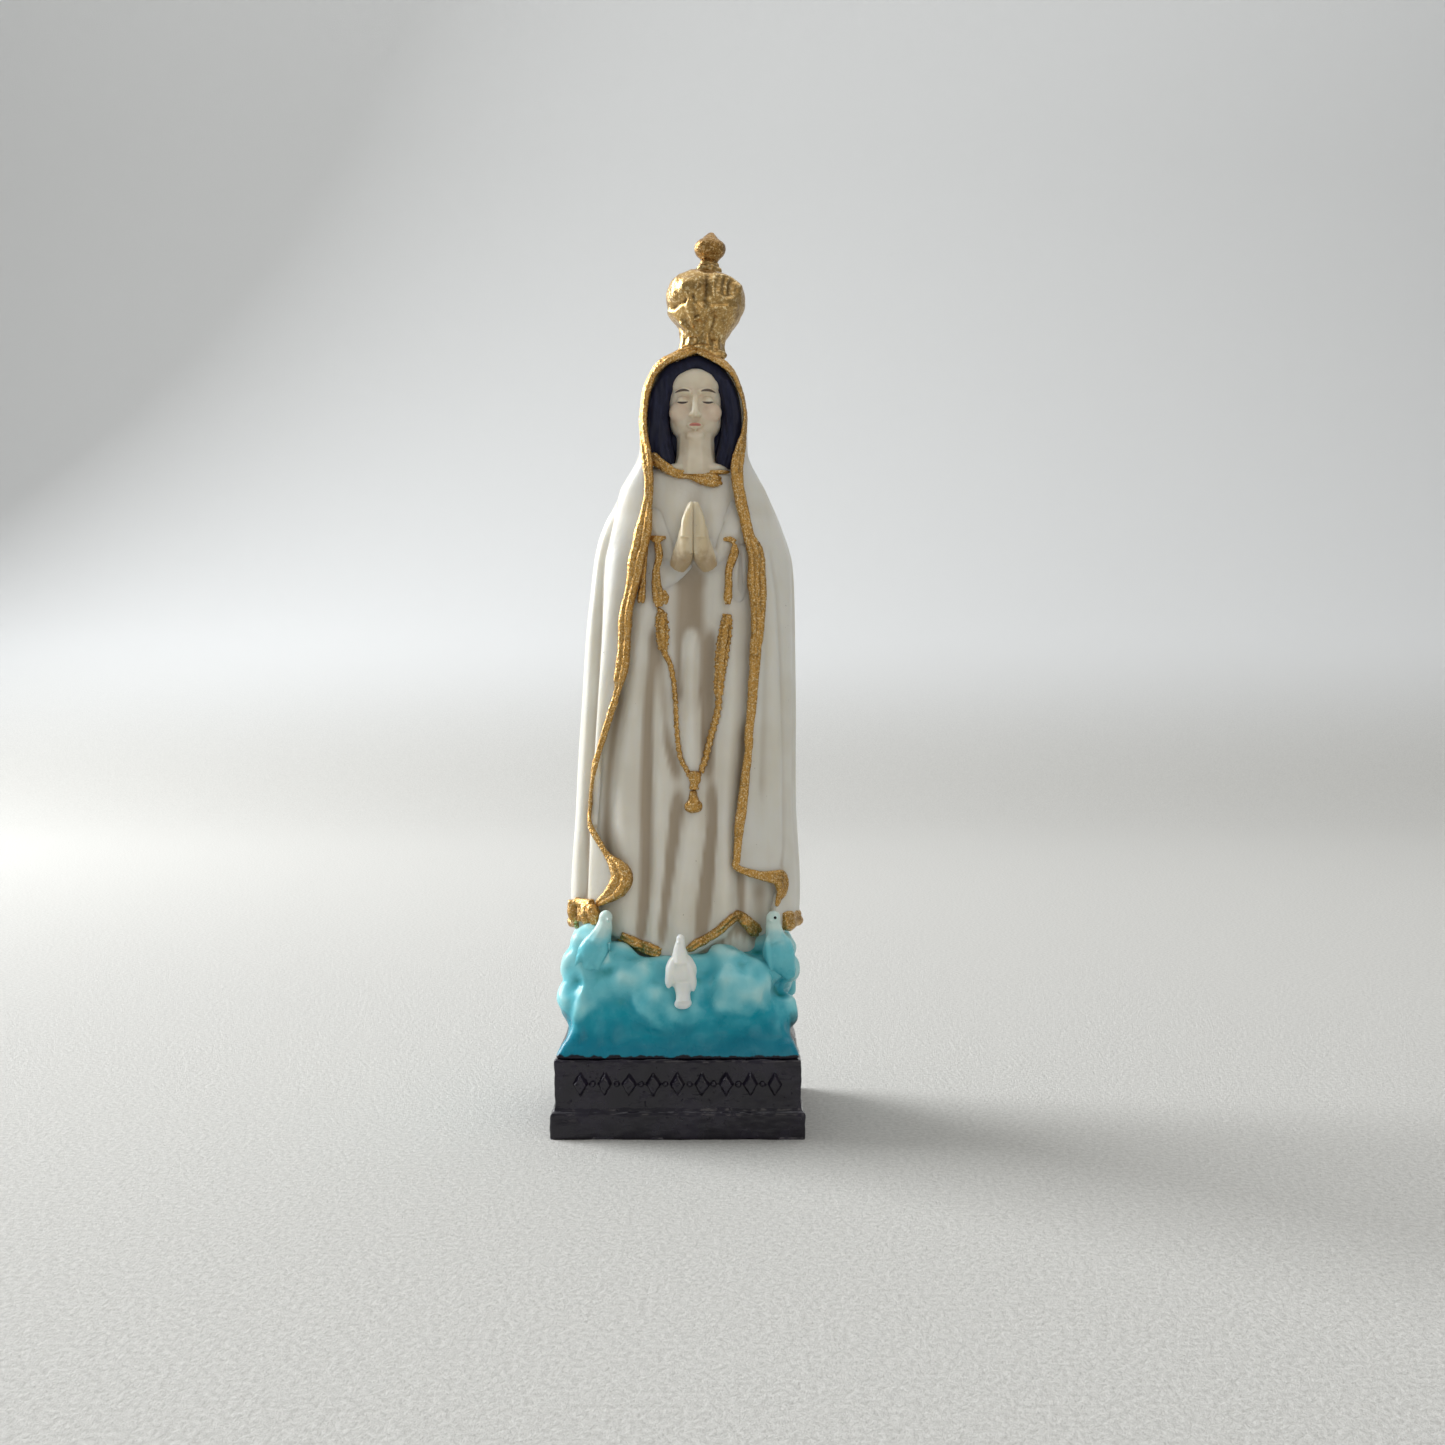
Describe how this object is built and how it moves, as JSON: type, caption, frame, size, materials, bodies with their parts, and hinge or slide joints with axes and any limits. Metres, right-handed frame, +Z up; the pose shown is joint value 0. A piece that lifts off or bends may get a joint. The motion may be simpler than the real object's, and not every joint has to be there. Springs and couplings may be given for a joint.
{
  "type": "madonna figurine",
  "caption": "Small standing madonna figurine with joined hands, long mantle, rosary and bulbous crown, on a cloud with doves above a stepped dark plinth.",
  "frame": {"origin": "middle of the plinth's underside, where the figurine rests", "axes": "+Z up through the crown; the figure faces -Y; +X is the viewer's right"},
  "size_m": [0.0272, 0.023, 0.1],
  "materials": {
    "plinth_paint": "brushed glossy near-black paint over cast resin, slightly uneven",
    "ornament_paint": "the same glossy near-black paint",
    "cloud_resin": "translucent white resin under a turquoise wash, deeper in the hollows and at the foot",
    "tunic_resin": "bare ivory-white translucent resin, satin",
    "mantle_resin": "bare ivory-white translucent resin, satin",
    "face_resin": "warm ivory resin with painted features",
    "hair_paint": "blue-black brushed paint with a soft sheen",
    "hand_resin": "yellower bare resin",
    "sleeve_resin": "bare ivory-white translucent resin, satin",
    "gold_trim": "metallic gold paint over a grainy raised edge",
    "gold_rosary": "metallic gold paint over rope relief",
    "gold_crown": "metallic gold paint, brown in the hollows",
    "gold_orb": "coarse coppery gold paint",
    "dove_resin": "bare translucent resin, the outer two washed with turquoise below"
  },
  "bodies": {
    "root": {"plinth": "plinth_paint", "front_ornament": "ornament_paint", "cloud_bank": "cloud_resin", "tunic": "tunic_resin", "mantle": "mantle_resin", "head": "face_resin", "hair": "hair_paint", "collar_trim": "gold_trim", "hand_left": "hand_resin", "hand_right": "hand_resin", "sleeve_left": "sleeve_resin", "sleeve_right": "sleeve_resin", "cuff_trim_left": "gold_trim", "cuff_trim_right": "gold_trim", "mantle_trim_left": "gold_trim", "mantle_trim_right": "gold_trim", "mantle_hem_trim": "gold_trim", "tunic_hem_trim_left": "gold_trim", "tunic_hem_trim_right": "gold_trim", "rosary_strand_left": "gold_rosary", "rosary_strand_right": "gold_rosary", "rosary_centrepiece": "gold_rosary", "rosary_pendant": "gold_rosary", "crown_band": "gold_crown", "crown_bulb": "gold_crown", "crown_collar": "gold_crown", "crown_orb": "gold_orb", "dove_left": "dove_resin", "dove_centre": "dove_resin", "dove_right": "dove_resin"}
  },
  "joints": []
}
